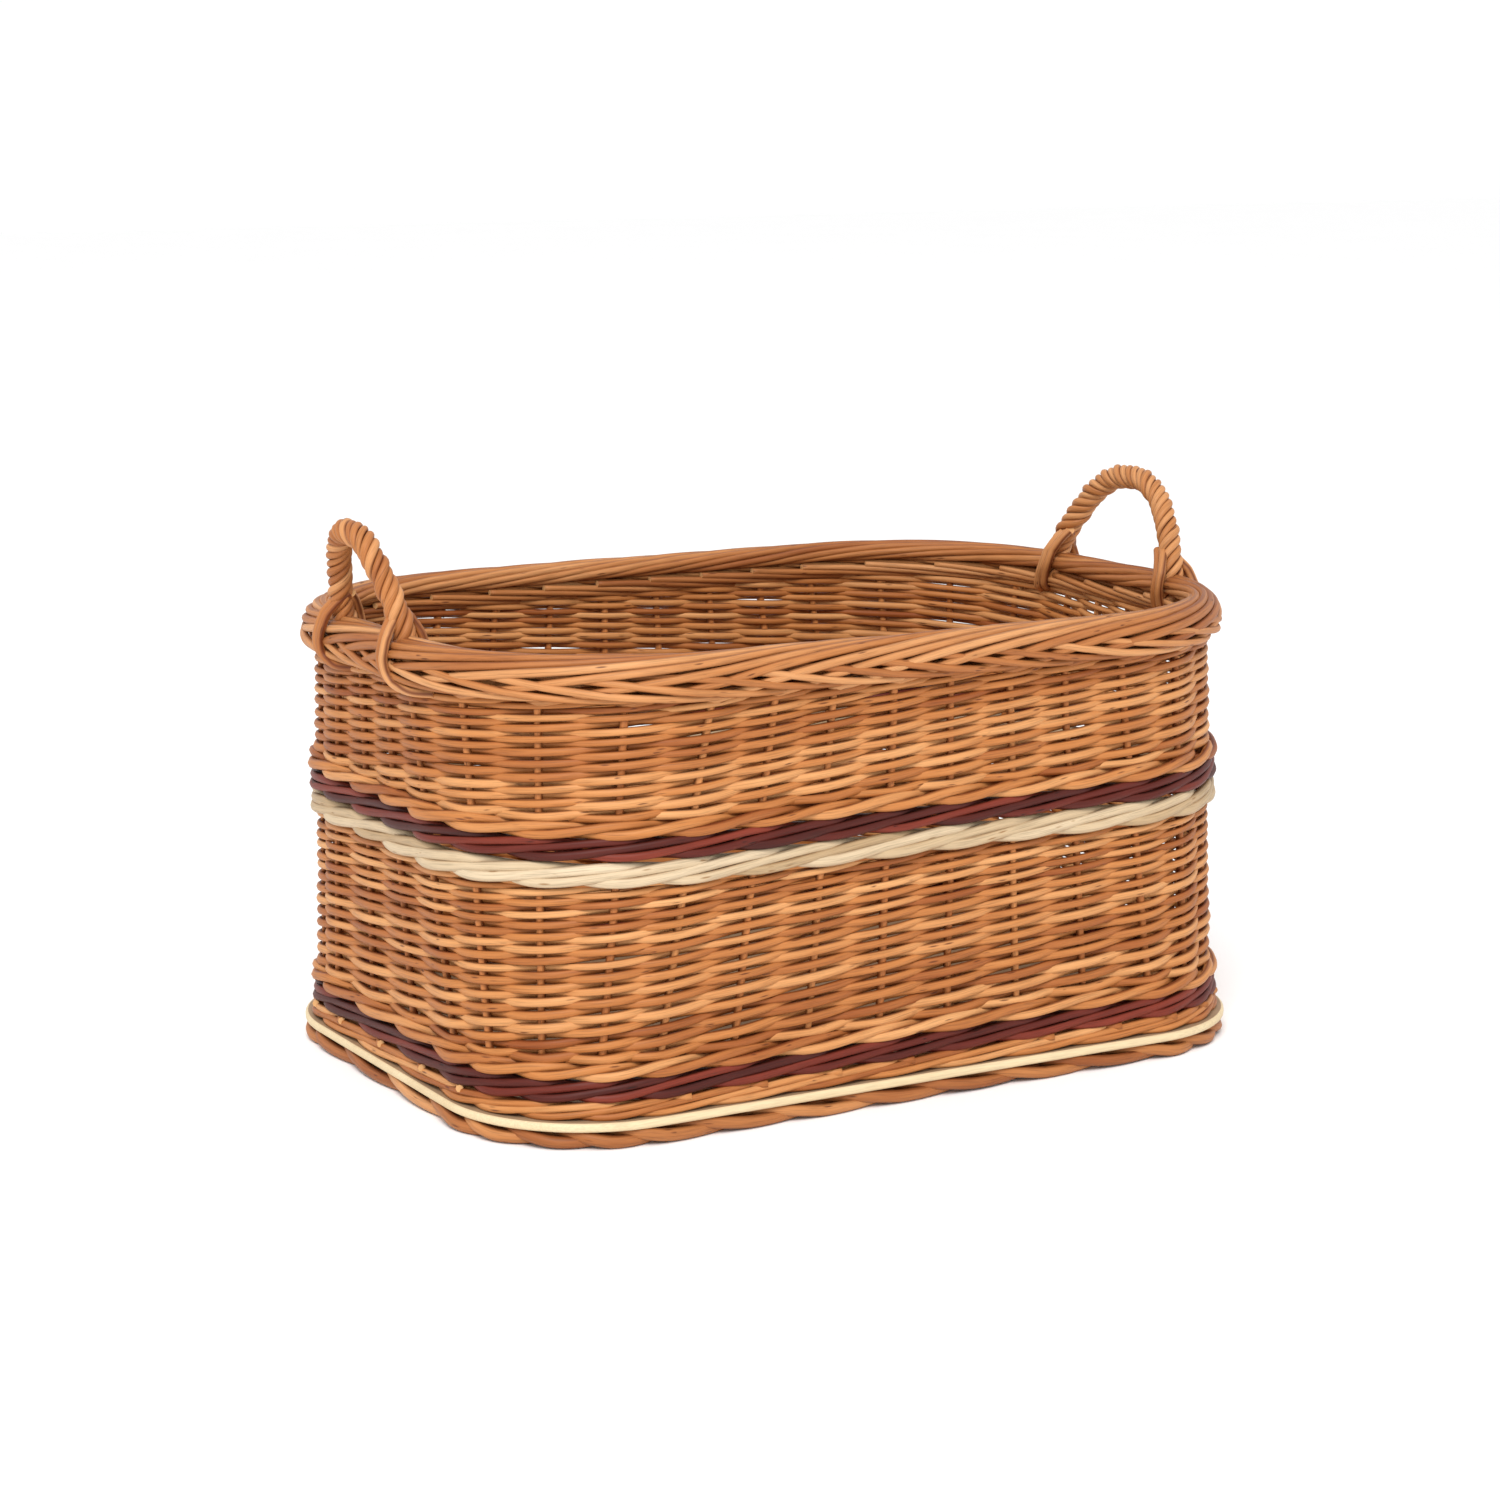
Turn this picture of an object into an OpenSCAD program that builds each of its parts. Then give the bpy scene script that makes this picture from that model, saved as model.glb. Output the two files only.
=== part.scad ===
// Oblong willow log basket on a plywood base board, with two fixed rope-twisted end handles.
// +X runs along the length, +Z is up, and the origin is the middle of the underside.
// The walls follow a rounded oblong, the stake line, which widens a little towards the rim.

/* [Base] */
// Length of the base board
board_l = 600; // [560:10:640]
// Width of the base board
board_w = 418; // [390:2:450]
// Corner radius of the base board
board_r = 102; // [95:1:110]
// Thickness of the base board
board_t = 6; // [4:0.5:8]
// Height of the foot border under the board
foot_h = 12; // [10:1:14]
// How far the board stands out past the stake line
board_lip = 14; // [12:1:18]

/* [Rim] */
// Length of the stake line at the rim
rim_l = 598; // [570:2:640]
// Width of the stake line at the rim
rim_w = 410; // [390:2:450]
// Corner radius of the stake line at the rim
rim_r = 150; // [120:2:160]
// Height of the top of the woven walls
wall_top = 288; // [270:2:320]
// Height of the plaited part of the rim border
plait_h = 20; // [16:1:22]
// Diameter of the rods rolled along the top of the rim
roll_d = 7; // [6:0.5:7.5]

/* [Stakes] */
// Number of upright stakes
stake_count = 36; // [32:4:40]
// Diameter of a stake
stake_d = 5.6; // [4.5:0.1:6]

/* [Weave bands] */
// Half thickness of the randed siding
siding_half = 7; // [6.5:0.5:7.5]
// Half thickness of the waled bands
wale_half = 7.5; // [7:0.5:8.5]
// Height of the upsett wale
upsett_h = 11; // [8:1:13]
// Height of each dark wale
dark_h = 15; // [12:1:18]
// Height of the pale wale
pale_h = 17; // [14:1:20]
// Height at which the pale wale starts
pale_z = 168; // [150:2:180]
// Courses shown in the lower siding
lower_courses = 8; // [4:1:10]
// Courses shown in the upper siding
upper_courses = 6; // [3:1:8]

/* [Handles] */
// Distance of each leg of the left handle from the middle of its end, along the stake line
left_reach = 60; // [57:1:64]
// Distance of each leg of the right handle from the middle of its end, along the stake line
right_reach = 84; // [82:1:96]
// Rise of the handle's centre line above the rim
handle_rise = 60; // [50:1:75]
// Lean of the handle away from the basket, in degrees
handle_lean = 14; // [0:1:18]
// Diameter of the bow rod inside the handle
bow_d = 8; // [7:0.5:8.5]
// Diameter of a rod twisted round the bow
strand_d = 4.6; // [4:0.1:4.8]
// Length of one turn of the twist
twist_pitch = 30; // [29:1:36]
// Depth of the bow's legs below the rim
leg_depth = 50; // [40:2:56]

/* [Hidden] */
$fn = 64;

natural = [0.78, 0.55, 0.34];
honey = [0.72, 0.48, 0.28];
dark = [0.36, 0.17, 0.12];
pale = [0.90, 0.85, 0.70];
ply = [0.80, 0.70, 0.54];

fit_gap = 0.6;
hole_gap = 0.4;
course_step = 0.6;
base_l = board_l - 2 * board_lip;
base_w = board_w - 2 * board_lip;
base_r = board_r - board_lip + 4;
board_top = foot_h + board_t;
upsett_top = board_top + upsett_h;
lower_dark_top = upsett_top + dark_h;
pale_top = pale_z + pale_h;
upper_dark_top = pale_top + dark_h;
plait_top = wall_top + plait_h;
roll_z = plait_top + roll_d / 2;
rim_top = plait_top + roll_d;
plait_half = 10;
roll_offset = 8;
strand_count = 5;
strand_sides = 6;
rings_per_turn = 10;
strand_radius = (bow_d + strand_d) / 2 + 0.1;
strand_margin = 7;
knuckle_d = bow_d + 1.6;
lashing_reach = plait_half + strand_d / 2 + 1;
foot_half = wale_half + 1;
quarter_count = stake_count / 4;
end_half = floor(quarter_count / 2);
spread_z = 190;

// How far up the wall a height is, from 0 at the foot to 1 at the top of the rim
function part_way(z) = (z - foot_h) / (rim_top - foot_h);

// Length, width and corner radius of the stake line at a height, moved outwards by a distance
function line_l(z, out = 0) = base_l + (rim_l - base_l) * part_way(z) + 2 * out;
function line_w(z, out = 0) = base_w + (rim_w - base_w) * part_way(z) + 2 * out;
function line_r(z, out = 0) = base_r + (rim_r - base_r) * part_way(z) + out;

// Lengths of the three stretches of a quarter of the stake line, where the stakes are evenly spread
spread_e = line_w(spread_z) / 2 - line_r(spread_z);
spread_q = PI * line_r(spread_z) / 2;
spread_f = line_l(spread_z) / 2 - line_r(spread_z);
stake_pitch = (spread_e + spread_q + spread_f) / quarter_count;

// Point of the stake line at a height, in the quarter where x and y are positive. The distance s
// runs from the middle of the right end and is measured at the height where the stakes are even.
function quarter_point(s, z, out = 0) =
    let (l = line_l(z, out) / 2, w = line_w(z, out) / 2, r = line_r(z, out))
    let (a = (s - spread_e) / spread_q * 90)
    s < spread_e ? [l, (w - r) * s / spread_e, z] :
    a < 90 ? [l - r + r * cos(a), w - r + r * sin(a), z] :
    [(l - r) * (1 - (s - spread_e - spread_q) / spread_f), w, z];

// Centre of stake number j of a quarter
function stake_point(j, z) = quarter_point((j + 0.5) * stake_pitch, z);

module rounded_oblong(l, w, r) {
    square([l - 2 * r, w], center = true);
    square([l, w - 2 * r], center = true);
    for (x = [-1, 1], y = [-1, 1])
        translate([x * (l / 2 - r), y * (w / 2 - r)])
            circle(r);
}

// Straight round rod between two points
module rod(p, q, d) {
    v = q - p;
    translate(p)
        rotate([0, acos(v[2] / norm(v)), atan2(v[1], v[0])])
            cylinder(h = norm(v), d = d);
}

// Stakes first to last of the two quarters on one side of the basket
module stakes(sides, first, last) {
    for (side = sides, j = [first:last])
        mirror([side[0] < 0 ? 1 : 0, 0, 0])
            mirror([0, side[1] < 0 ? 1 : 0, 0])
                rod(stake_point(j, foot_h), stake_point(j, wall_top), stake_d);
}

module stake_holes() {
    for (x = [-1, 1], y = [-1, 1], j = [0:quarter_count - 1]) {
        p = stake_point(j, foot_h + board_t / 2);
        translate([x * p[0], y * p[1], foot_h - 1])
            cylinder(h = board_t + 2, d = stake_d + 2 * hole_gap);
    }
}

// Height of a course, to a tenth of a millimetre, so that neighbours meet on one plane
function course_z(z0, z1, part) = round(10 * (z0 + (z1 - z0) * part)) / 10;

// Closed ring between two heights that follows the stake line, from one distance off it to another
module ring(z0, z1, inner, outer) {
    m = (z0 + z1) / 2;
    translate([0, 0, z0])
        linear_extrude(z1 - z0)
            difference() {
                rounded_oblong(line_l(m, outer), line_w(m, outer), line_r(m, outer));
                rounded_oblong(line_l(m, inner), line_w(m, inner), line_r(m, inner));
            }
}

// Band of weave: the rods outside the stakes and the rods inside them, with the stakes between.
// It is built of courses, so that it follows the slope of the wall.
module woven_band(z0, z1, half, courses = 1) {
    slot = stake_d / 2 + fit_gap;
    for (c = [0:courses - 1]) {
        reach = half - course_step * (c % 2);
        low = course_z(z0, z1, c / courses);
        high = course_z(z0, z1, (c + 1) / courses);
        ring(low, high, slot, reach);
        ring(low, high, -reach, -slot);
    }
}

// A quarter of a round rod bent into a hoop that follows the rim
module quarter_hoop(out, d) {
    r = line_r(roll_z, out);
    f = line_l(roll_z, out) / 2 - r;
    e = line_w(roll_z, out) / 2 - r;
    translate([f, e])
        rotate_extrude(angle = 90)
            translate([r, 0])
                circle(d = d);
    translate([0, e + r])
        rotate([0, 90])
            cylinder(h = f, d = d);
    translate([f + r, e])
        rotate([90, 0])
            cylinder(h = e, d = d);
}

module hoop(out, d) {
    translate([0, 0, roll_z])
        for (x = [0, 1], y = [0, 1])
            mirror([x, 0, 0])
                mirror([0, y, 0])
                    quarter_hoop(out, d);
}

// ---- Handles ----
// The legs of the bow go straight down between the skins of the end wall, and above the rim the bow
// is one arc in a plane that leans outwards. All of it is made for the right end, for legs at a
// distance called reach from the middle of the end.

leg_foot = rim_top - leg_depth;
leg_d = stake_d - 0.6;
arch_z = rim_top + 2;
lash_foot = wall_top - 4;
lash_top = rim_top - 2;
arch_rise = handle_rise / cos(handle_lean);

function leg(reach) = quarter_point(reach, (leg_foot + wall_top) / 2);
function arch_r(reach) = (pow(leg(reach)[1], 2) + arch_rise * arch_rise) / (2 * arch_rise);
function arch_drop(reach) = arch_r(reach) - arch_rise;
function arch_start(reach) = asin(arch_drop(reach) / arch_r(reach));
function arch_sweep(reach) = 180 - 2 * arch_start(reach);
function arch_length(reach) = PI * arch_r(reach) * arch_sweep(reach) / 180;

// A point of the arch's own plane, where y runs across the end and z runs up the lean
function lean(p, reach) = [
    leg(reach)[0] + p[0] * cos(handle_lean) + p[2] * sin(handle_lean),
    p[1],
    arch_z - p[0] * sin(handle_lean) + p[2] * cos(handle_lean)
];

// A leg, thinned where it is pushed down between the weave's two skins
module leg_rod(reach, side) {
    translate([leg(reach)[0], side * leg(reach)[1], 0]) {
        translate([0, 0, leg_foot])
            cylinder(h = wall_top + fit_gap - leg_foot, d = leg_d);
        translate([0, 0, wall_top + fit_gap])
            cylinder(h = arch_z - wall_top - fit_gap, d = bow_d);
    }
}

module bow(reach) {
    for (side = [-1, 1]) {
        leg_rod(reach, side);
        translate([leg(reach)[0], side * leg(reach)[1], arch_z])
            sphere(d = knuckle_d);
    }
    translate([leg(reach)[0], 0, arch_z])
        rotate([0, handle_lean, 0])
            translate([0, 0, -arch_drop(reach)])
                rotate([90, 0, 90])
                    rotate(arch_start(reach))
                        rotate_extrude(angle = arch_sweep(reach))
                            translate([arch_r(reach), 0])
                                circle(d = bow_d);
}

module bow_holes() {
    for (end = [[-1, left_reach], [1, right_reach]], side = [-1, 1])
        translate([end[0] * leg(end[1])[0], side * leg(end[1])[1], wall_top - 1])
            cylinder(h = plait_h + 2, d = bow_d + 2 * fit_gap);
}

// Centre of twisted rod k at a distance along the arch. The hand is 1 or -1, for a right-hand or a
// left-hand twist.
function strand_centre(reach, k, hand, t) =
    let (a = arch_start(reach) + arch_sweep(reach) * t / arch_length(reach))
    let (b = 360 * (k / strand_count + hand * t / twist_pitch))
    let (r = arch_r(reach) + strand_radius * cos(b))
    [strand_radius * sin(b), r * cos(a), r * sin(a) - arch_drop(reach)];

function unit(v) = v / norm(v);

function strand_ring(reach, k, hand, t) =
    let (c = strand_centre(reach, k, hand, t))
    let (v = unit(strand_centre(reach, k, hand, t + 0.1) - strand_centre(reach, k, hand, t - 0.1)))
    let (s = unit(cross(v, [1, 0, 0])))
    let (n = cross(v, s))
    [for (j = [0:strand_sides - 1])
        let (a = 360 * j / strand_sides)
        lean(c + strand_d / 2 * (cos(a) * s + sin(a) * n), reach)];

module strand(reach, k, hand) {
    rings = ceil(rings_per_turn * arch_length(reach) / twist_pitch);
    span = arch_length(reach) - 2 * strand_margin;
    points = [for (i = [0:rings])
        each strand_ring(reach, k, hand, strand_margin + span * i / rings)];
    m = strand_sides;
    sides = [for (i = [0:rings - 1], j = [0:m - 1])
        let (n = (j + 1) % m)
        each [[i * m + j, i * m + n, (i + 1) * m + n], [i * m + j, (i + 1) * m + n, (i + 1) * m + j]]];
    first = [for (j = [m - 1:-1:0]) j];
    last = [for (j = [0:m - 1]) rings * m + j];
    polyhedron(points, concat(sides, [first, last]), convexity = 10);
}

// Two rods of the handle carried over the rim beside a leg and down its two faces
module lashing(reach, y) {
    for (side = [-1, 1]) {
        p = quarter_point(reach + side * (bow_d / 2 + strand_d / 2 + 1), rim_top);
        translate([p[0], y * p[1], lash_top])
            rotate([90, 0, 0])
                rotate_extrude(angle = 180)
                    translate([lashing_reach, 0])
                        circle(d = strand_d);
        for (x = [-lashing_reach, lashing_reach])
            translate([p[0] + x, y * p[1], lash_foot])
                cylinder(h = lash_top - lash_foot, d = strand_d);
    }
}

module base_board() {
    color(ply)
        difference() {
            translate([0, 0, foot_h])
                linear_extrude(board_t)
                    rounded_oblong(board_l, board_w, board_r);
            stake_holes();
        }
}

module foot_border() {
    color(honey) {
        ring(0, foot_h / 3, -foot_half + 1.5, foot_half - 1.5);
        ring(foot_h / 3, foot_h, -foot_half, foot_half);
    }
}

module front_stakes() {
    color(honey) stakes([[-1, -1], [1, -1]], end_half, quarter_count - 1);
}

module back_stakes() {
    color(honey) stakes([[-1, 1], [1, 1]], end_half, quarter_count - 1);
}

module left_stakes() {
    color(honey) stakes([[-1, -1], [-1, 1]], 0, end_half - 1);
}

module right_stakes() {
    color(honey) stakes([[1, -1], [1, 1]], 0, end_half - 1);
}

module upsett_wale() {
    color(natural) woven_band(board_top, upsett_top, wale_half);
}

module lower_dark_wale() {
    color(dark) woven_band(upsett_top, lower_dark_top, wale_half);
}

module lower_siding() {
    color(natural) woven_band(lower_dark_top, pale_z, siding_half, lower_courses);
}

module pale_wale() {
    color(pale) woven_band(pale_z, pale_top, wale_half + 0.5);
}

module upper_dark_wale() {
    color(dark) woven_band(pale_top, upper_dark_top, wale_half);
}

module upper_siding() {
    color(natural) woven_band(upper_dark_top, wall_top, siding_half, upper_courses);
}

module rim_plait() {
    color(honey)
        difference() {
            ring(wall_top, plait_top, -plait_half, plait_half);
            bow_holes();
        }
}

module rim_roll_outer() {
    color(natural) hoop(roll_offset, roll_d);
}

module rim_roll_inner() {
    color(natural) hoop(-roll_offset, roll_d);
}

module left_bow() { color(honey) mirror([1, 0, 0]) bow(left_reach); }
module right_bow() { color(honey) bow(right_reach); }
module left_strand(k) { color(natural) mirror([1, 0, 0]) strand(left_reach, k, 1); }
module right_strand(k) { color(natural) strand(right_reach, k, -1); }
module left_lashing(y) { color(natural) mirror([1, 0, 0]) lashing(left_reach, y); }
module right_lashing(y) { color(natural) lashing(right_reach, y); }

base_board();
foot_border();
front_stakes();
back_stakes();
left_stakes();
right_stakes();
upsett_wale();
lower_dark_wale();
lower_siding();
pale_wale();
upper_dark_wale();
upper_siding();
rim_plait();
rim_roll_outer();
rim_roll_inner();
left_bow();
left_strand(0);  // left_strand_1
left_strand(1);  // left_strand_2
left_strand(2);  // left_strand_3
left_strand(3);  // left_strand_4
left_strand(4);  // left_strand_5
left_lashing(-1);  // left_front_lashing
left_lashing(1);  // left_back_lashing
right_bow();
right_strand(0);  // right_strand_1
right_strand(1);  // right_strand_2
right_strand(2);  // right_strand_3
right_strand(3);  // right_strand_4
right_strand(4);  // right_strand_5
right_lashing(-1);  // right_front_lashing
right_lashing(1);  // right_back_lashing
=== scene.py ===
import bpy
import math
import numpy as np
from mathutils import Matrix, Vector


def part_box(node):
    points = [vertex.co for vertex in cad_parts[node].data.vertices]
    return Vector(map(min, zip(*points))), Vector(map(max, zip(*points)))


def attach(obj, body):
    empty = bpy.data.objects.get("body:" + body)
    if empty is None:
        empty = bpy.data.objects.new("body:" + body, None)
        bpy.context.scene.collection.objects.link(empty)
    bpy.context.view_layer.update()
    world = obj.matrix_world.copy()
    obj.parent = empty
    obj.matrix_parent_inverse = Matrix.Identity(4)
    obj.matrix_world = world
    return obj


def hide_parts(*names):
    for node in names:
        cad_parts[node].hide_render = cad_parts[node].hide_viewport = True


# The looks of an oblong willow log basket. Every willow rod is its own swept tube, woven round the
# stakes in the bands where the CAD frame has its closed skins.
# Lengths are in metres, and in millimetres in the tables of keys. The wall coordinate u counts
# stakes from the middle of the +X end, counter-clockwise from above, and out is a distance outwards
# from the stake line.

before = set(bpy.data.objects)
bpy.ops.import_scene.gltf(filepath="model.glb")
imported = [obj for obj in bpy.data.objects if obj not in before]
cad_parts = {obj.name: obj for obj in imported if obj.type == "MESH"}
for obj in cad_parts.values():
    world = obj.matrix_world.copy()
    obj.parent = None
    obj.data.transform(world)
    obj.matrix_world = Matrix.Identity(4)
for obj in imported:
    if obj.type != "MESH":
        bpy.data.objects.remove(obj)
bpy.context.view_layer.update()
rng = np.random.default_rng(7)

MM = 0.001
STAKES = 36
STAKE_R = 2.8 * MM
BOARD_LIP = 14 * MM          # how far the board stands out past the stake line
BOARD_CORNER_TRIM = 4 * MM   # the board's corners are this much sharper than the stake line's
ROUND_OVER = 1.8 * MM        # rounding of the board's edge
BORDER_HALF = 10 * MM        # half thickness of the plaited rim in the frame
FOOT_CORNER = 92 * MM        # corner radius of the stake line at the foot
RIM_CORNER = 148 * MM        # and in the middle of the plaited rim
SPREAD_Z = 190 * MM          # height at which the stakes are evenly spread
WANDER = 30 * MM             # length over which a stake wanders from its line

board_low, board_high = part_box("base_board")
rim_low, rim_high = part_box("rim_plait")
roll_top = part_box("rim_roll_outer")[1].z
foot_z = board_low.z
rim_z = (rim_low.z + rim_high.z) / 2


# ---- The wall ----

def wall_size(z):
    """Half length, half width and corner radius of the stake line at a height."""
    part = (z - foot_z) / (rim_z - foot_z)
    foot = (board_high.x - BOARD_LIP, board_high.y - BOARD_LIP, FOOT_CORNER)
    rim = (rim_high.x - BORDER_HALF, rim_high.y - BORDER_HALF, RIM_CORNER)
    return [a + (b - a) * part for a, b in zip(foot, rim)]


def wall(u, z, out=0.0):
    """Points of the wall, and the outward normals there."""
    l, w, r = wall_size(SPREAD_Z)
    end, corner, side = w - r, math.pi * r / 2, l - r
    quarter_count = STAKES / 4
    u, z, out = np.broadcast_arrays(np.mod(u, STAKES), z, out)
    quarter = np.floor(u / quarter_count).astype(int)
    s = np.where(quarter % 2 == 0, u - quarter * quarter_count, (quarter + 1) * quarter_count - u)
    s = s * (end + corner + side) / quarter_count
    l, w, r = wall_size(z)
    a = np.clip((s - end) / corner, 0, 1) * math.pi / 2
    nx, ny = np.cos(a), np.sin(a)
    x = (l - r) * (1 - np.clip((s - end - corner) / side, 0, 1)) + (r + out) * nx
    y = (w - r) * np.clip(s / end, 0, 1) + (r + out) * ny
    sx = np.where((quarter == 1) | (quarter == 2), -1, 1)
    sy = np.where(quarter >= 2, -1, 1)
    points = np.stack([x * sx, y * sy, z], axis=-1)
    normals = np.stack([nx * sx, ny * sy, np.zeros_like(nx)], axis=-1)
    return points, normals


def unit(v):
    return v / np.linalg.norm(v, axis=-1, keepdims=True)


def curve(t, keys):
    """Smooth values at t through keys (t, a, b, ...), one row a key."""
    keys = np.asarray(keys, float)
    k = keys[:, 0]
    slope = np.gradient(keys[:, 1:], k, axis=0)
    i = np.clip(np.searchsorted(k, t, side="right") - 1, 0, len(k) - 2)
    h = (k[i + 1] - k[i])[:, None]
    f = np.clip((t - k[i])[:, None] / h, 0, 1)
    p, q = keys[i, 1:], keys[i + 1, 1:]
    m, n = slope[i] * h, slope[i + 1] * h
    return ((2 * f**3 - 3 * f**2 + 1) * p + (f**3 - 2 * f**2 + f) * m
            + (3 * f**2 - 2 * f**3) * q + (f**3 - f**2) * n)


def wobble(t, amount, step=2.5):
    """Slow random wandering along a rod."""
    t = np.asarray(t, float)
    knots = np.arange(t.min() - step, t.max() + 2 * step, step)
    return curve(t, np.column_stack([knots, rng.normal(0, amount, len(knots))]))[:, 0]


# ---- Rods ----

class Rods:
    """Willow rods gathered into one mesh, with the coordinates its material needs."""

    def __init__(self, sides=8):
        self.sides = sides
        self.verts, self.faces, self.cut, self.grain, self.tint, self.open = [], [], [], [], [], []
        self.count = 0

    def add(self, path, across, radius, tint=None, closed=False, flat=1.0):
        """A rod along a path. The vectors in across are never along it, and flat thins the rod
        along them."""
        n, m = len(path), self.sides
        t = np.roll(path, -1, 0) - np.roll(path, 1, 0) if closed else np.gradient(path, axis=0)
        t = unit(t)
        b = unit(np.cross(t, np.broadcast_to(across, path.shape)))
        a = np.cross(b, t)
        radius = np.broadcast_to(radius, n)[:, None]
        angle = np.arange(m) * 2 * math.pi / m
        ca, sa = np.cos(angle)[None, :], np.sin(angle)[None, :]
        ring = (path[:, None, :] + (radius * ca * flat)[..., None] * a[:, None, :]
                + (radius * sa)[..., None] * b[:, None, :])
        run = np.r_[0, np.cumsum(np.linalg.norm(np.diff(path, axis=0), axis=1))]
        start = rng.uniform(0, 50)
        grain = np.stack([np.broadcast_to(start + run[:, None], (n, m)), radius * ca, radius * sa], -1)
        if tint is None:
            tint = np.full(n, rng.uniform())
        i = np.arange(n if closed else n - 1)[:, None]
        j = np.arange(m)[None, :]
        k, i2 = (j + 1) % m, (i + 1) % n
        quads = np.stack(np.broadcast_arrays(i * m + j, i2 * m + j, i2 * m + k, i * m + k), -1)
        faces = (quads.reshape(-1, 4) + self.count).tolist()
        cut = [0] * len(faces)
        if not closed:
            faces += [[self.count + q for q in range(m)],
                      [self.count + (n - 1) * m + q for q in range(m - 1, -1, -1)]]
            cut += [1, 1]
        self.verts.append(ring.reshape(-1, 3))
        self.grain.append(grain.reshape(-1, 3))
        self.tint.append(np.repeat(np.broadcast_to(tint, n), m))
        # open is highest where a ring point faces along the across vectors, lowest on the sides that
        # lie against neighbouring rods; the willow materials paint shade where it is low
        self.open.append(np.tile(np.abs(np.cos(angle)), n))
        self.faces += faces
        self.cut += cut
        self.count += n * m

    def build(self, name, material, cut_material):
        mesh = bpy.data.meshes.new(name)
        mesh.from_pydata(np.concatenate(self.verts).tolist(), [], self.faces)
        mesh.materials.append(material)
        mesh.materials.append(cut_material)
        mesh.polygons.foreach_set("material_index", self.cut)
        mesh.polygons.foreach_set("use_smooth", [c == 0 for c in self.cut])
        grain = mesh.attributes.new("grain", "FLOAT_VECTOR", "POINT")
        grain.data.foreach_set("vector", np.concatenate(self.grain).ravel())
        for name_, values in (("tint", self.tint), ("open", self.open)):
            attribute = mesh.attributes.new(name_, "FLOAT", "POINT")
            attribute.data.foreach_set("value", np.concatenate(values))
        mesh.update()
        piece = bpy.data.objects.new(name, mesh)
        bpy.context.scene.collection.objects.link(piece)
        return piece


def wall_rod(rods, u, z, out, radius, **more):
    path, normals = wall(u, z, out)
    rods.add(path, normals, radius, **more)


# ---- Materials ----

def srgb(r, g, b):
    return tuple(((c / 255) / 12.92 if c <= 10 else ((c / 255 + 0.055) / 1.055) ** 2.4)
                 for c in (r, g, b)) + (1.0,)


class Nodes:
    """A node material, with short calls for adding to it."""

    def __init__(self, name):
        self.material = bpy.data.materials.new(name)
        self.material.use_nodes = True
        self.tree = self.material.node_tree
        self.shader = self.tree.nodes["Principled BSDF"]

    def put(self, target, value):
        if isinstance(value, bpy.types.NodeSocket):
            self.tree.links.new(value, target)
        else:
            target.default_value = value

    def add(self, kind, out=0, settings=(), **inputs):
        node = self.tree.nodes.new(kind)
        for key, value in dict(settings).items():
            setattr(node, key, value)
        for key, value in inputs.items():
            self.put(node.inputs[key.replace("_", " ")], value)
        return node.outputs[out]

    def attribute(self, name, out):
        return self.add("ShaderNodeAttribute", out, {"attribute_name": name})

    def math(self, operation, a, b=0.0):
        node = self.tree.nodes.new("ShaderNodeMath")
        node.operation = operation
        self.put(node.inputs[0], a)
        self.put(node.inputs[1], b)
        return node.outputs[0]

    def stretch(self, vector, x, y, z):
        node = self.tree.nodes.new("ShaderNodeMapping")
        node.inputs["Scale"].default_value = (x, y, z)
        self.tree.links.new(vector, node.inputs["Vector"])
        return node.outputs[0]

    def noise(self, vector, scale, detail=3.0):
        return self.add("ShaderNodeTexNoise", 0, Vector=vector, Scale=scale, Detail=detail,
                        Roughness=0.55)

    def ramp(self, factor, *stops):
        node = self.tree.nodes.new("ShaderNodeValToRGB")
        elements = node.color_ramp.elements
        while len(elements) < len(stops):
            elements.new(0.5)
        for element, (place, colour) in zip(elements, stops):
            element.position = place
            element.color = colour if isinstance(colour, tuple) else (colour, colour, colour, 1)
        self.tree.links.new(factor, node.inputs[0])
        return node.outputs[0]

    def mix(self, factor, a, b, blend="MIX"):
        node = self.tree.nodes.new("ShaderNodeMix")
        node.data_type = "RGBA"
        node.blend_type = blend
        self.put(node.inputs[0], factor)
        self.put(node.inputs[6], a)
        self.put(node.inputs[7], b)
        return node.outputs[2]

    def bump(self, *layers):
        normal = None
        for height, distance, strength in layers:
            node = self.tree.nodes.new("ShaderNodeBump")
            node.inputs["Strength"].default_value = strength
            node.inputs["Distance"].default_value = distance
            self.tree.links.new(height, node.inputs["Height"])
            if normal is not None:
                self.tree.links.new(normal, node.inputs["Normal"])
            normal = node.outputs[0]
        self.tree.links.new(normal, self.shader.inputs["Normal"])

    def finish(self, colour, rough, **constants):
        self.put(self.shader.inputs["Base Color"], colour)
        self.put(self.shader.inputs["Roughness"], rough)
        for key, value in constants.items():
            self.shader.inputs[key.replace("_", " ")].default_value = value
        return self.material


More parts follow.
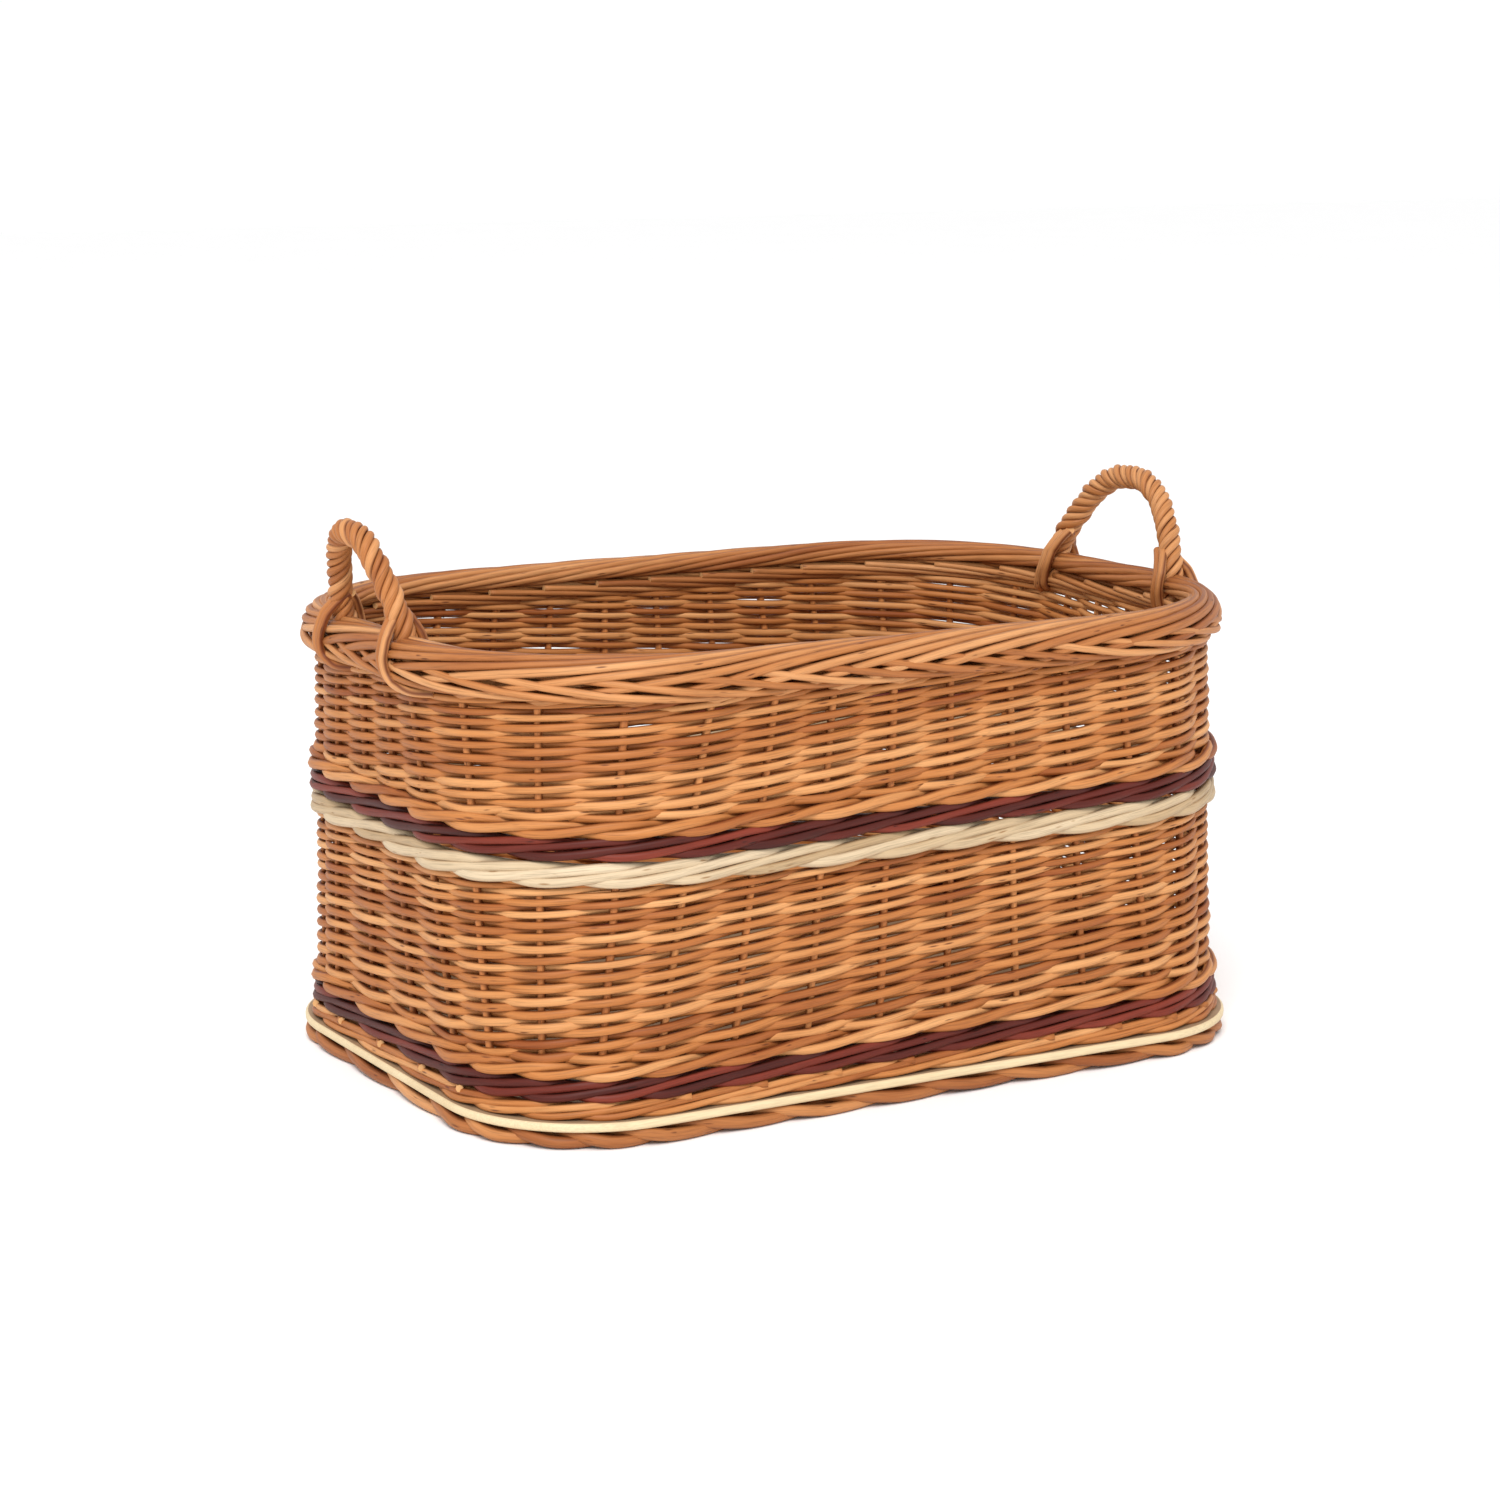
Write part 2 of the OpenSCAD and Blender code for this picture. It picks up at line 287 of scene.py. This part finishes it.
def willow(name, deep, middle, bright, fleck, painted_crevice_shade, rough=0.5, patchy=0.45):
    """Willow bark: rods of different tone, grain along each rod, small knots and a satin skin,
    with painted shade, a deep red-brown, along the lines where the rods lie against each other."""
    n = Nodes(name)
    grain, tint, open_ = n.attribute("grain", 1), n.attribute("tint", 2), n.attribute("open", 2)
    blotches = n.noise(n.stretch(grain, 16, 160, 160), 1.0, 4.0)
    streaks = n.noise(n.stretch(grain, 45, 1500, 1500), 1.0, 3.0)
    tone = n.math("ADD", n.math("MULTIPLY", tint, 1 - patchy), n.math("MULTIPLY", blotches, patchy))
    colour = n.ramp(tone, (0.1, deep), (0.5, middle), (0.9, bright))
    colour = n.mix(0.6, colour, n.ramp(streaks, (0.3, 0.5), (0.5, 1.0), (0.75, 1.15)), "MULTIPLY")
    edge = n.math("ADD", open_, n.math("MULTIPLY", n.math("SUBTRACT", blotches, 0.5), 0.5))
    # Painted shade: the sides of each rod that lie against its neighbours are blended towards the
    # crevice shade colour
    colour = n.mix(n.ramp(edge, (0.05, 0.85), (0.62, 0.0)), colour, painted_crevice_shade)
    cells = n.tree.nodes.new("ShaderNodeTexVoronoi")
    cells.inputs["Scale"].default_value = 1.0
    n.tree.links.new(n.stretch(grain, 42, 260, 260), cells.inputs["Vector"])
    knot = n.ramp(cells.outputs["Distance"], (0.08, 1.0), (0.2, 0.0))
    some = n.ramp(n.noise(n.stretch(grain, 42, 90, 90), 1.0, 0.0), (0.52, 0.0), (0.56, 1.0))
    knot = n.math("MULTIPLY", knot, some)
    colour = n.mix(n.math("MULTIPLY", knot, 0.8), colour, fleck)
    n.bump((streaks, 0.0003, 0.5), (blotches, 0.0008, 0.35), (knot, 0.0004, 0.5))
    roughness = n.math("ADD", rough - 0.1, n.math("MULTIPLY", streaks, 0.22))
    return n.finish(colour, roughness, Specular_IOR_Level=0.25)


def cut_end(name, pale, dark):
    """The cut face of a rod: pale wood with a darker speckle."""
    n = Nodes(name)
    grain = n.attribute("grain", 1)
    speckle = n.noise(grain, 2500, 2.0)
    colour = n.mix(speckle, pale, dark)
    n.bump((speckle, 0.0003, 0.5))
    return n.finish(colour, 0.7)


def plywood(name, low, high):
    """Plain plywood with a long figure along X."""
    n = Nodes(name)
    place = n.add("ShaderNodeTexCoord", 3)
    figure = n.noise(n.stretch(place, 5, 45, 45), 1.0, 5.0)
    fine = n.noise(n.stretch(place, 60, 900, 900), 1.0, 2.0)
    colour = n.mix(figure, low, high)
    colour = n.mix(0.4, colour, n.ramp(fine, (0.35, 0.7), (0.6, 1.05)), "MULTIPLY")
    n.bump((fine, 0.0003, 0.4), (figure, 0.0006, 0.3))
    return n.finish(colour, n.math("ADD", 0.55, n.math("MULTIPLY", fine, 0.2)))


# Painted shade: the last colour given to each willow material is the deep red-brown laid into the
# crevices between rods
PAINTED_CREVICE_SHADE = srgb(88, 32, 10)
NATURAL = willow("willow_natural", srgb(136, 69, 27), srgb(182, 116, 61), srgb(216, 160, 105),
                 srgb(84, 36, 16), PAINTED_CREVICE_SHADE)
RIM = willow("willow_rim", srgb(134, 71, 32), srgb(178, 115, 64), srgb(210, 154, 103),
             srgb(84, 38, 16), PAINTED_CREVICE_SHADE)
STAKE = willow("willow_stakes", srgb(146, 80, 34), srgb(186, 116, 62), srgb(208, 144, 86),
               srgb(84, 36, 16), PAINTED_CREVICE_SHADE)
DARK = willow("willow_dark", srgb(48, 14, 9), srgb(92, 30, 19), srgb(130, 52, 34),
              srgb(24, 8, 6), srgb(22, 6, 4), rough=0.5)
PALE = willow("willow_pale", srgb(168, 138, 100), srgb(192, 168, 134), srgb(210, 190, 160),
              srgb(140, 100, 58), srgb(132, 88, 48), rough=0.5)
CUT = cut_end("cut_willow", srgb(226, 180, 122), srgb(190, 132, 78))
CUT_PALE = cut_end("cut_pale_willow", srgb(230, 208, 166), srgb(206, 176, 128))
# Lit and shaded copies of one plywood: the faces are painted darker as in shade, the edge paler as in
# light
SHADED_BOARD_FACE = plywood("board_face_painted_shade", srgb(140, 112, 84), srgb(172, 144, 112))
LIT_BOARD_EDGE = plywood("board_edge_painted_light", srgb(204, 178, 134), srgb(232, 214, 176))


def keep(rods, name, material, nodes, cut=None):
    piece = rods.build(name, material, cut or CUT)
    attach(piece, "root")
    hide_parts(*nodes)
    return piece


# ---- Board and stakes ----

def build_board():
    """The board, with its edge rounded over. The edge has a paler copy of the plywood and the two
    faces a darker one: painted light and shade.
    """
    l, w = board_high.x, board_high.y
    r = FOOT_CORNER + BOARD_LIP - BOARD_CORNER_TRIM
    thick = board_high.z - board_low.z
    lower = [(-ROUND_OVER, 0), (-0.5 * ROUND_OVER, 0.08), (-0.1 * ROUND_OVER, 0.2), (0, 0.35)]
    levels = lower + [(inset, 1 - up) for inset, up in reversed(lower)]
    arc = np.linspace(0, math.pi / 2, 20)
    verts, faces, edge = [], [], []
    for inset, up in levels:
        for sx, sy, a0 in ((1, 1, 0), (-1, 1, 1), (-1, -1, 2), (1, -1, 3)):
            for a in arc + a0 * math.pi / 2:
                verts.append((sx * (l - r) + (r + inset) * math.cos(a),
                              sy * (w - r) + (r + inset) * math.sin(a), board_low.z + up * thick))
    m = 4 * len(arc)
    for i in range(len(levels) - 1):
        for j in range(m):
            k = (j + 1) % m
            faces.append((i * m + j, i * m + k, (i + 1) * m + k, (i + 1) * m + j))
            edge.append(1)
    faces += [tuple(range(m - 1, -1, -1)), tuple((len(levels) - 1) * m + j for j in range(m))]
    edge += [0, 0]
    mesh = bpy.data.meshes.new("board")
    mesh.from_pydata(verts, [], faces)
    mesh.materials.append(SHADED_BOARD_FACE)
    mesh.materials.append(LIT_BOARD_EDGE)
    mesh.polygons.foreach_set("material_index", edge)
    mesh.polygons.foreach_set("use_smooth", [e == 1 for e in edge])
    piece = bpy.data.objects.new("board", mesh)
    bpy.context.scene.collection.objects.link(piece)
    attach(piece, "root")
    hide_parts("base_board")


def build_stakes():
    rods = Rods(sides=10)
    z = np.linspace(foot_z - 1 * MM, rim_low.z + 4 * MM, 40)
    for j in range(STAKES):
        wall_rod(rods, j + 0.5 + wobble(z / WANDER, 0.012), z, wobble(z / WANDER, 0.25 * MM),
                 STAKE_R * rng.uniform(0.92, 1.06))
    keep(rods, "stakes", STAKE,
         ["front_stakes", "back_stakes", "left_stakes", "right_stakes"])


# ---- Woven bands ----

SWING = 0.58            # how far siding rods pass the stake line: at 1 they would clear the stakes
BURIED = 0.9            # a siding rod starts this many stakes before its first one, inside the wall
LOOSE = 0.3 * MM        # how far a wale's rods wander up and down
START_ROW = 9 * MM      # height of the first, thick row of each siding
START_R = 3.4 * MM      # radii of the rods in that row and in each wale
UPSETT_R = 2.7 * MM
DARK_R = 3.1 * MM
PALE_R = 3.6 * MM


def randing(name, node, z0, z1, levels, thick, thin):
    """French randing: a rod starts at every stake, and each goes outside one stake and inside the
    next, climbing by one level a stake. thick and thin are a rod's butt and tip radii."""
    rods = Rods(sides=8)
    samples = 9
    pitch = np.linspace(thick, thin, levels)     # the levels draw closer as the rods thin out
    height = np.r_[0, np.cumsum(pitch)]
    height = z0 + thick * 0.9 + height * (z1 - z0 - thick * 1.6) / height[-1]
    for i in range(STAKES):
        m = np.linspace(-BURIED, levels, (levels + 1) * samples + 1)
        u = i + 0.5 + m
        radius = np.interp(m, (0, levels), (thick, thin)) * rng.uniform(0.9, 1.08)
        z = np.interp(m, np.arange(levels + 1), height) + wobble(m, 0.45 * MM)
        reach = SWING * (STAKE_R + radius) * (1 + wobble(m, 0.08, 1.0))
        out = reach * np.cos(math.pi * m)
        wall_rod(rods, u, z, out, radius, tint=rng.uniform() + wobble(m, 0.08, 4), flat=0.9)
    keep(rods, name, NATURAL, [node])


def wale(rods, z0, z1, count, radius, flat=1.0, push=0.0):
    """A closed wale of that many rods. Each goes outside all but one stake and inside that one,
    and every stroke starts low at its first stake and rises to the right. push moves the whole
    wale outwards."""
    samples = 10
    low, high = z0 + radius, z1 - radius
    reach = STAKE_R + radius * flat
    outside = count - 1
    period = [(d, reach * (1.12 - 0.24 * d / (outside - 1)),
               low + (high - low) * d / (outside - 1)) for d in range(outside)]
    period.append((outside, -reach, (low + high) / 2))
    keys = [(d + p * count, out, z) for p in (-1, 0, 1, 2) for d, out, z in period]
    t = np.arange(0, STAKES, 1 / samples)
    for k in range(count):
        out, z = curve(np.mod(t, count), keys).T
        out = out + push
        u = k + 0.5 + t
        ease = np.sin(math.pi * t / STAKES)          # the loop closes on itself
        z = z + ease * wobble(t, LOOSE)
        tones = rng.uniform(size=STAKES // count)
        tint = tones[np.mod(np.floor((t + 1) / count), len(tones)).astype(int)]
        size = radius * (1 + 0.06 * ease * wobble(t, 1.0, 3))
        wall_rod(rods, u, z, out, size, tint=tint, closed=True, flat=flat)


def build_bands():
    low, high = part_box("upsett_wale")
    rods = Rods()
    wale(rods, low.z - 0.5 * MM, high.z + 1 * MM, 4, UPSETT_R, push=1.6 * MM)
    butts(rods, high.z - 1.5 * MM)
    keep(rods, "upsett", NATURAL, ["upsett_wale"])

    for name, node in (("lower_dark_band", "lower_dark_wale"), ("upper_dark_band", "upper_dark_wale")):
        low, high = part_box(node)
        rods = Rods()
        wale(rods, low.z - 0.5 * MM, high.z + 0.5 * MM, 4, DARK_R)
        keep(rods, name, DARK, [node])

    low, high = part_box("pale_wale")
    rods = Rods(sides=10)
    wale(rods, low.z - 0.5 * MM, high.z, 4, PALE_R, flat=0.8)
    keep(rods, "pale_band", PALE, ["pale_wale"], CUT_PALE)


def butts(rods, z):
    """The cut butts of the wale's rods, which stand out a little between the stakes."""
    for j in range(STAKES):
        if rng.uniform() < 0.3:
            continue
        t = np.linspace(0, 1, 5)
        u = j + 0.62 + 0.3 * t
        wall_rod(rods, u, z - 1 * MM + 1.5 * MM * t, (2 + 7.5 * t) * MM, 2.6 * MM)


def build_siding():
    """Each siding: a thick first row, and then randing whose last rods end behind the next band."""
    for part, top, levels, thick, thin in (("lower", 5, 28, 3.4, 2.35), ("upper", 15, 24, 3.15, 2.15)):
        node = part + "_siding"
        low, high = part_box(node)
        rods = Rods()
        wale(rods, low.z - 1.5 * MM, low.z + START_ROW + 2 * MM, 3, START_R)
        keep(rods, part + "_start_row", NATURAL, [node])
        randing(part + "_randing", node, low.z + START_ROW, high.z + top * MM, levels,
                thick * MM, thin * MM)


# ---- Borders ----

FLOOR_GAP = 0.1 * MM         # the foot's rods stay this far above the floor
BORDER_LOOSE = 0.4 * MM      # how far a border's rods wander
FOOT_BUTT_R = 4.3 * MM       # radii of the borders' rods at their thick and thin ends
FOOT_TIP_R = 3.8 * MM
RIM_BUTT_R = 3.1 * MM
RIM_TIP_R = 2.3 * MM


def border(name, nodes, keys, thick, thin):
    """A border laid down from the stakes: one rod a stake, all along the same keys
    (stakes run, out in mm, height in mm)."""
    rods = Rods(sides=10)
    samples = 9
    keys = np.array(keys, float)
    span = keys[-1, 0] - keys[0, 0]
    t = np.linspace(keys[0, 0], keys[-1, 0], int(span * samples))
    out, z = curve(t, keys).T * MM
    radius = np.interp(t, (t[0], t[-1]), (thick, thin))
    for j in range(STAKES):
        fade = np.clip(np.minimum(t - t[0], t[-1] - t) / 0.8, 0, 1)
        size = radius * rng.uniform(0.92, 1.07)
        wall_rod(rods, j + 0.5 + t + fade * wobble(t, 0.03),
                 np.maximum(z + fade * wobble(t, BORDER_LOOSE), FLOOR_GAP + size),
                 out + fade * wobble(t, BORDER_LOOSE), size)
    keep(rods, name, RIM, nodes)


# Under the board, out in front of the next stake, and back in
FOOT_KEYS = [(-0.05, 0, 14), (0.2, -2, 10.5), (0.45, 4, 9.4), (0.7, 8.6, 8.6), (0.95, 10.6, 6.8),
             (1.2, 11, 5), (1.5, 9.8, 4.4), (1.8, 6.5, 4.4), (2.2, 0, 4.6), (2.8, -6.5, 6),
             (3.4, -8.5, 8)]
# Up the outer face, over the top, through to the outer face again below, and in under the rim
RIM_KEYS = [(-0.1, 0, 283), (0.25, 5.5, 287.5), (0.8, 9.5, 294), (1.5, 10.8, 300.5), (2.7, 8.2, 307.3),
            (4.3, 1, 311.8), (5.8, -6, 310.5), (7, -8.2, 306), (8.2, -5, 302), (9.0, 2, 301.5),
            (9.6, 9, 300), (10.3, 12, 295), (11.0, 11.5, 290), (11.7, 7.5, 287.6), (12.4, 1, 287.4),
            (13.2, -4.5, 290), (14.2, -7, 293.5), (15.2, -7.5, 297)]


# ---- Handles ----

ROPE_STRANDS = 5
ROPE_R = 5.6 * MM            # from the rope's centre line to a strand's
CROWN_PITCH = 34 * MM        # a strand's run in one turn, at the crown
LEG_PITCH = 50 * MM          # and at the legs
KNUCKLE_R = 4.8 * MM
BOW_R = 4.0 * MM
ARCH_POWER = 2.5             # above 2, the arch has fuller shoulders than a parabola
CORE_R = 3.0 * MM            # the bow, as far as it shows between the strands
LEG_LENGTH = 26 * MM         # how far the rope runs down into the border


def handle_size(side):
    """Foot and crown of a handle's centre line, from its bow in the frame."""
    low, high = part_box("left_bow" if side < 0 else "right_bow")
    inner, outer = sorted((abs(low.x), abs(high.x)))
    foot = np.array([inner + KNUCKLE_R, high.y - KNUCKLE_R, roll_top + 2 * MM])
    crown = np.array([outer - BOW_R, 0, high.z - BOW_R])
    return foot, crown


def handle_line(side):
    """Centre line of a handle from its -y foot to its +y foot, and the vector across its plane."""
    foot, crown = handle_size(side)
    up = crown - np.array([foot[0], 0, foot[2]])
    a = np.linspace(-math.pi / 2, math.pi / 2, 80)
    y = foot[1] * np.sin(a)
    rise = 1 - np.abs(np.sin(a)) ** ARCH_POWER
    arch = np.stack([foot[0] + up[0] * rise, y, foot[2] + up[2] * rise], -1)
    drop = np.linspace(LEG_LENGTH, 2 * MM, 10)
    leg = np.stack([np.full_like(drop, foot[0]), np.full_like(drop, foot[1]), foot[2] - drop], -1)
    path = np.concatenate([leg * (1, -1, 1), arch, leg[::-1]]) * (side, 1, 1)
    up = up / np.linalg.norm(up)
    return path, np.array([up[2] * side, 0, -up[0]])


def even(path, count):
    """The path again, with points evenly far apart, and the distance run at each."""
    run = np.r_[0, np.cumsum(np.linalg.norm(np.diff(path, axis=0), axis=1))]
    t = np.linspace(0, run[-1], count)
    return np.stack([np.interp(t, run, path[:, i]) for i in range(3)], -1), t


def build_handle(name, side, nodes):
    path, across = handle_line(side)
    path, t = even(path, 280)
    for _ in range(60):      # eases the bend between the legs and the arch
        path[1:-1] = (path[:-2] + 2 * path[1:-1] + path[2:]) / 4
    along = unit(np.gradient(path, axis=0))
    over = unit(np.cross(across, along))
    crown = np.clip(np.sin(math.pi * t / t[-1]), 0, 1) ** 0.8
    pitch = LEG_PITCH + (CROWN_PITCH - LEG_PITCH) * crown
    turn = np.r_[0, np.cumsum(np.diff(t) / pitch[1:])] * 2 * math.pi
    around = 2 * math.pi * ROPE_R
    strand_r = 0.54 * around / ROPE_STRANDS * pitch / np.hypot(around, pitch)
    rods = Rods(sides=12)
    rods.add(path, across, CORE_R)
    for k in range(ROPE_STRANDS):
        a = turn - turn[len(t) // 2] + 2 * math.pi * (k + 0.5 * (side > 0)) / ROPE_STRANDS
        radial = np.cos(a)[:, None] * over + np.sin(a)[:, None] * across
        reach = ROPE_R + wobble(t / 0.02, 0.4 * MM)
        rods.add(path + reach[:, None] * radial, radial,
                 strand_r * rng.uniform(0.88, 1.14) * (1 + wobble(t / 0.03, 0.05)),
                 tint=rng.uniform() + wobble(t / 0.04, 0.1))
    build_lashings(rods, side)
    keep(rods, name, RIM, nodes)


LASH_R = 3.0 * MM
LANE = 0.125                 # stakes between the two rods of a lashing
TIP_PULL = 0.17             # stakes by which a lashing starts nearer the middle, inside the rope

# Lashings leave the rope and are tucked into the wall: stakes along the wall from the leg, out and
# height in mm. One pair crosses the rim outside, the other goes down inside.
OUTER_LASH = [(0, -3, 331), (0.03, 5, 325), (0.05, 12, 317), (0.02, 15, 309), (-0.06, 15.8, 300),
              (-0.06, 14.4, 291), (0.06, 12, 285.5), (0.32, 9, 283), (0.6, 1, 283)]
INNER_LASH = [(0, -4, 331), (-0.05, -9, 325), (-0.08, -13.5, 316), (-0.05, -15, 306),
              (0.03, -13, 297), (0.1, -9, 289), (0.16, -2, 285)]


def leg_place(side):
    """Where along the wall a handle's legs stand, in stakes from the middle of its end."""
    foot, _ = handle_size(side)
    l, w, r = wall_size(foot[2])
    straight = min(foot[1] / (w - r), 1)
    turned = math.asin(max((foot[1] - w + r) / r, 0))
    l, w, r = wall_size(SPREAD_Z)
    return (straight * (w - r) + turned * r) / (w + l - 2 * r + math.pi * r / 2) * STAKES / 4


def build_lashings(rods, side):
    centre = STAKES / 2 if side < 0 else 0
    for way in (-1, 1):
        for keys in (OUTER_LASH, INNER_LASH):
            keys = np.column_stack([np.arange(len(keys)), keys])
            t = np.linspace(0, len(keys) - 1, 60)
            du, out, z = curve(t, keys).T
            for lane in (-0.5, 0.5):
                pull = TIP_PULL * np.clip(1 - t / 2, 0, 1)
                u = centre + way * (leg_place(side) - pull) + du + lane * LANE
                path, normals = wall(u, (z - 1.5 * lane) * MM, out * MM)
                along_wall = np.cross(normals, (0, 0, 1))
                rods.add(path, np.cross(unit(np.gradient(path, axis=0)), along_wall), LASH_R)


# ---- Scene ----

def build_stage():
    mesh = bpy.data.meshes.new("floor")
    size = 12
    mesh.from_pydata([(-size, -size, 0), (size, -size, 0), (size, size, 0), (-size, size, 0)], [],
                     [(0, 1, 2, 3)])
    n = Nodes("floor_white")
    place = n.add("ShaderNodeTexCoord", 3)
    white = n.mix(n.noise(place, 3.0), (0.96, 0.96, 0.96, 1), (0.98, 0.98, 0.98, 1))
    mesh.materials.append(n.finish(white, 0.9))
    floor = bpy.data.objects.new("floor", mesh)
    bpy.context.scene.collection.objects.link(floor)


def area_light(name, place, target, size, power):
    data = bpy.data.lights.new(name, "AREA")
    data.shape = "DISK"
    data.size = size
    data.energy = power
    light = bpy.data.objects.new(name, data)
    light.location = place
    light.rotation_euler = (Vector(target) - Vector(place)).to_track_quat("-Z", "Y").to_euler()
    bpy.context.scene.collection.objects.link(light)


def build_lights():
    world = bpy.data.worlds.new("studio")
    bpy.context.scene.world = world
    world.use_nodes = True
    world.node_tree.nodes["Background"].inputs["Color"].default_value = (1, 1, 1, 1)
    world.node_tree.nodes["Background"].inputs["Strength"].default_value = 0.8
    area_light("key", (-1.9, -2.7, 3.3), (0, 0, 0.2), 2.2, 104)
    bpy.context.scene.view_settings.view_transform = "Standard"
    bpy.context.scene.view_settings.exposure = 0.35


def build_camera():
    azimuth, elevation = math.radians(-29.78), math.radians(11.07)
    distance = 2.502
    target = Vector((0.009, 0.038, 0.1945))
    back = Vector((math.sin(azimuth) * math.cos(elevation), -math.cos(azimuth) * math.cos(elevation),
                   math.sin(elevation)))
    data = bpy.data.cameras.new("camera")
    data.sensor_width = 36
    data.lens = 84
    camera = bpy.data.objects.new("camera", data)
    camera.location = target + back * distance
    camera.rotation_euler = (-back).to_track_quat("-Z", "Y").to_euler()
    bpy.context.scene.collection.objects.link(camera)
    bpy.context.scene.camera = camera


build_board()
build_stakes()
build_bands()
build_siding()
border("foot_rods", ["foot_border"], FOOT_KEYS, FOOT_BUTT_R, FOOT_TIP_R)
border("rim_rods", ["rim_plait", "rim_roll_outer", "rim_roll_inner"], RIM_KEYS, RIM_BUTT_R, RIM_TIP_R)
for name, side in (("left", -1), ("right", 1)):
    build_handle(name + "_handle", side,
                 [name + "_bow", name + "_front_lashing", name + "_back_lashing"]
                 + [f"{name}_strand_{k + 1}" for k in range(ROPE_STRANDS)])
build_stage()
build_lights()
build_camera()
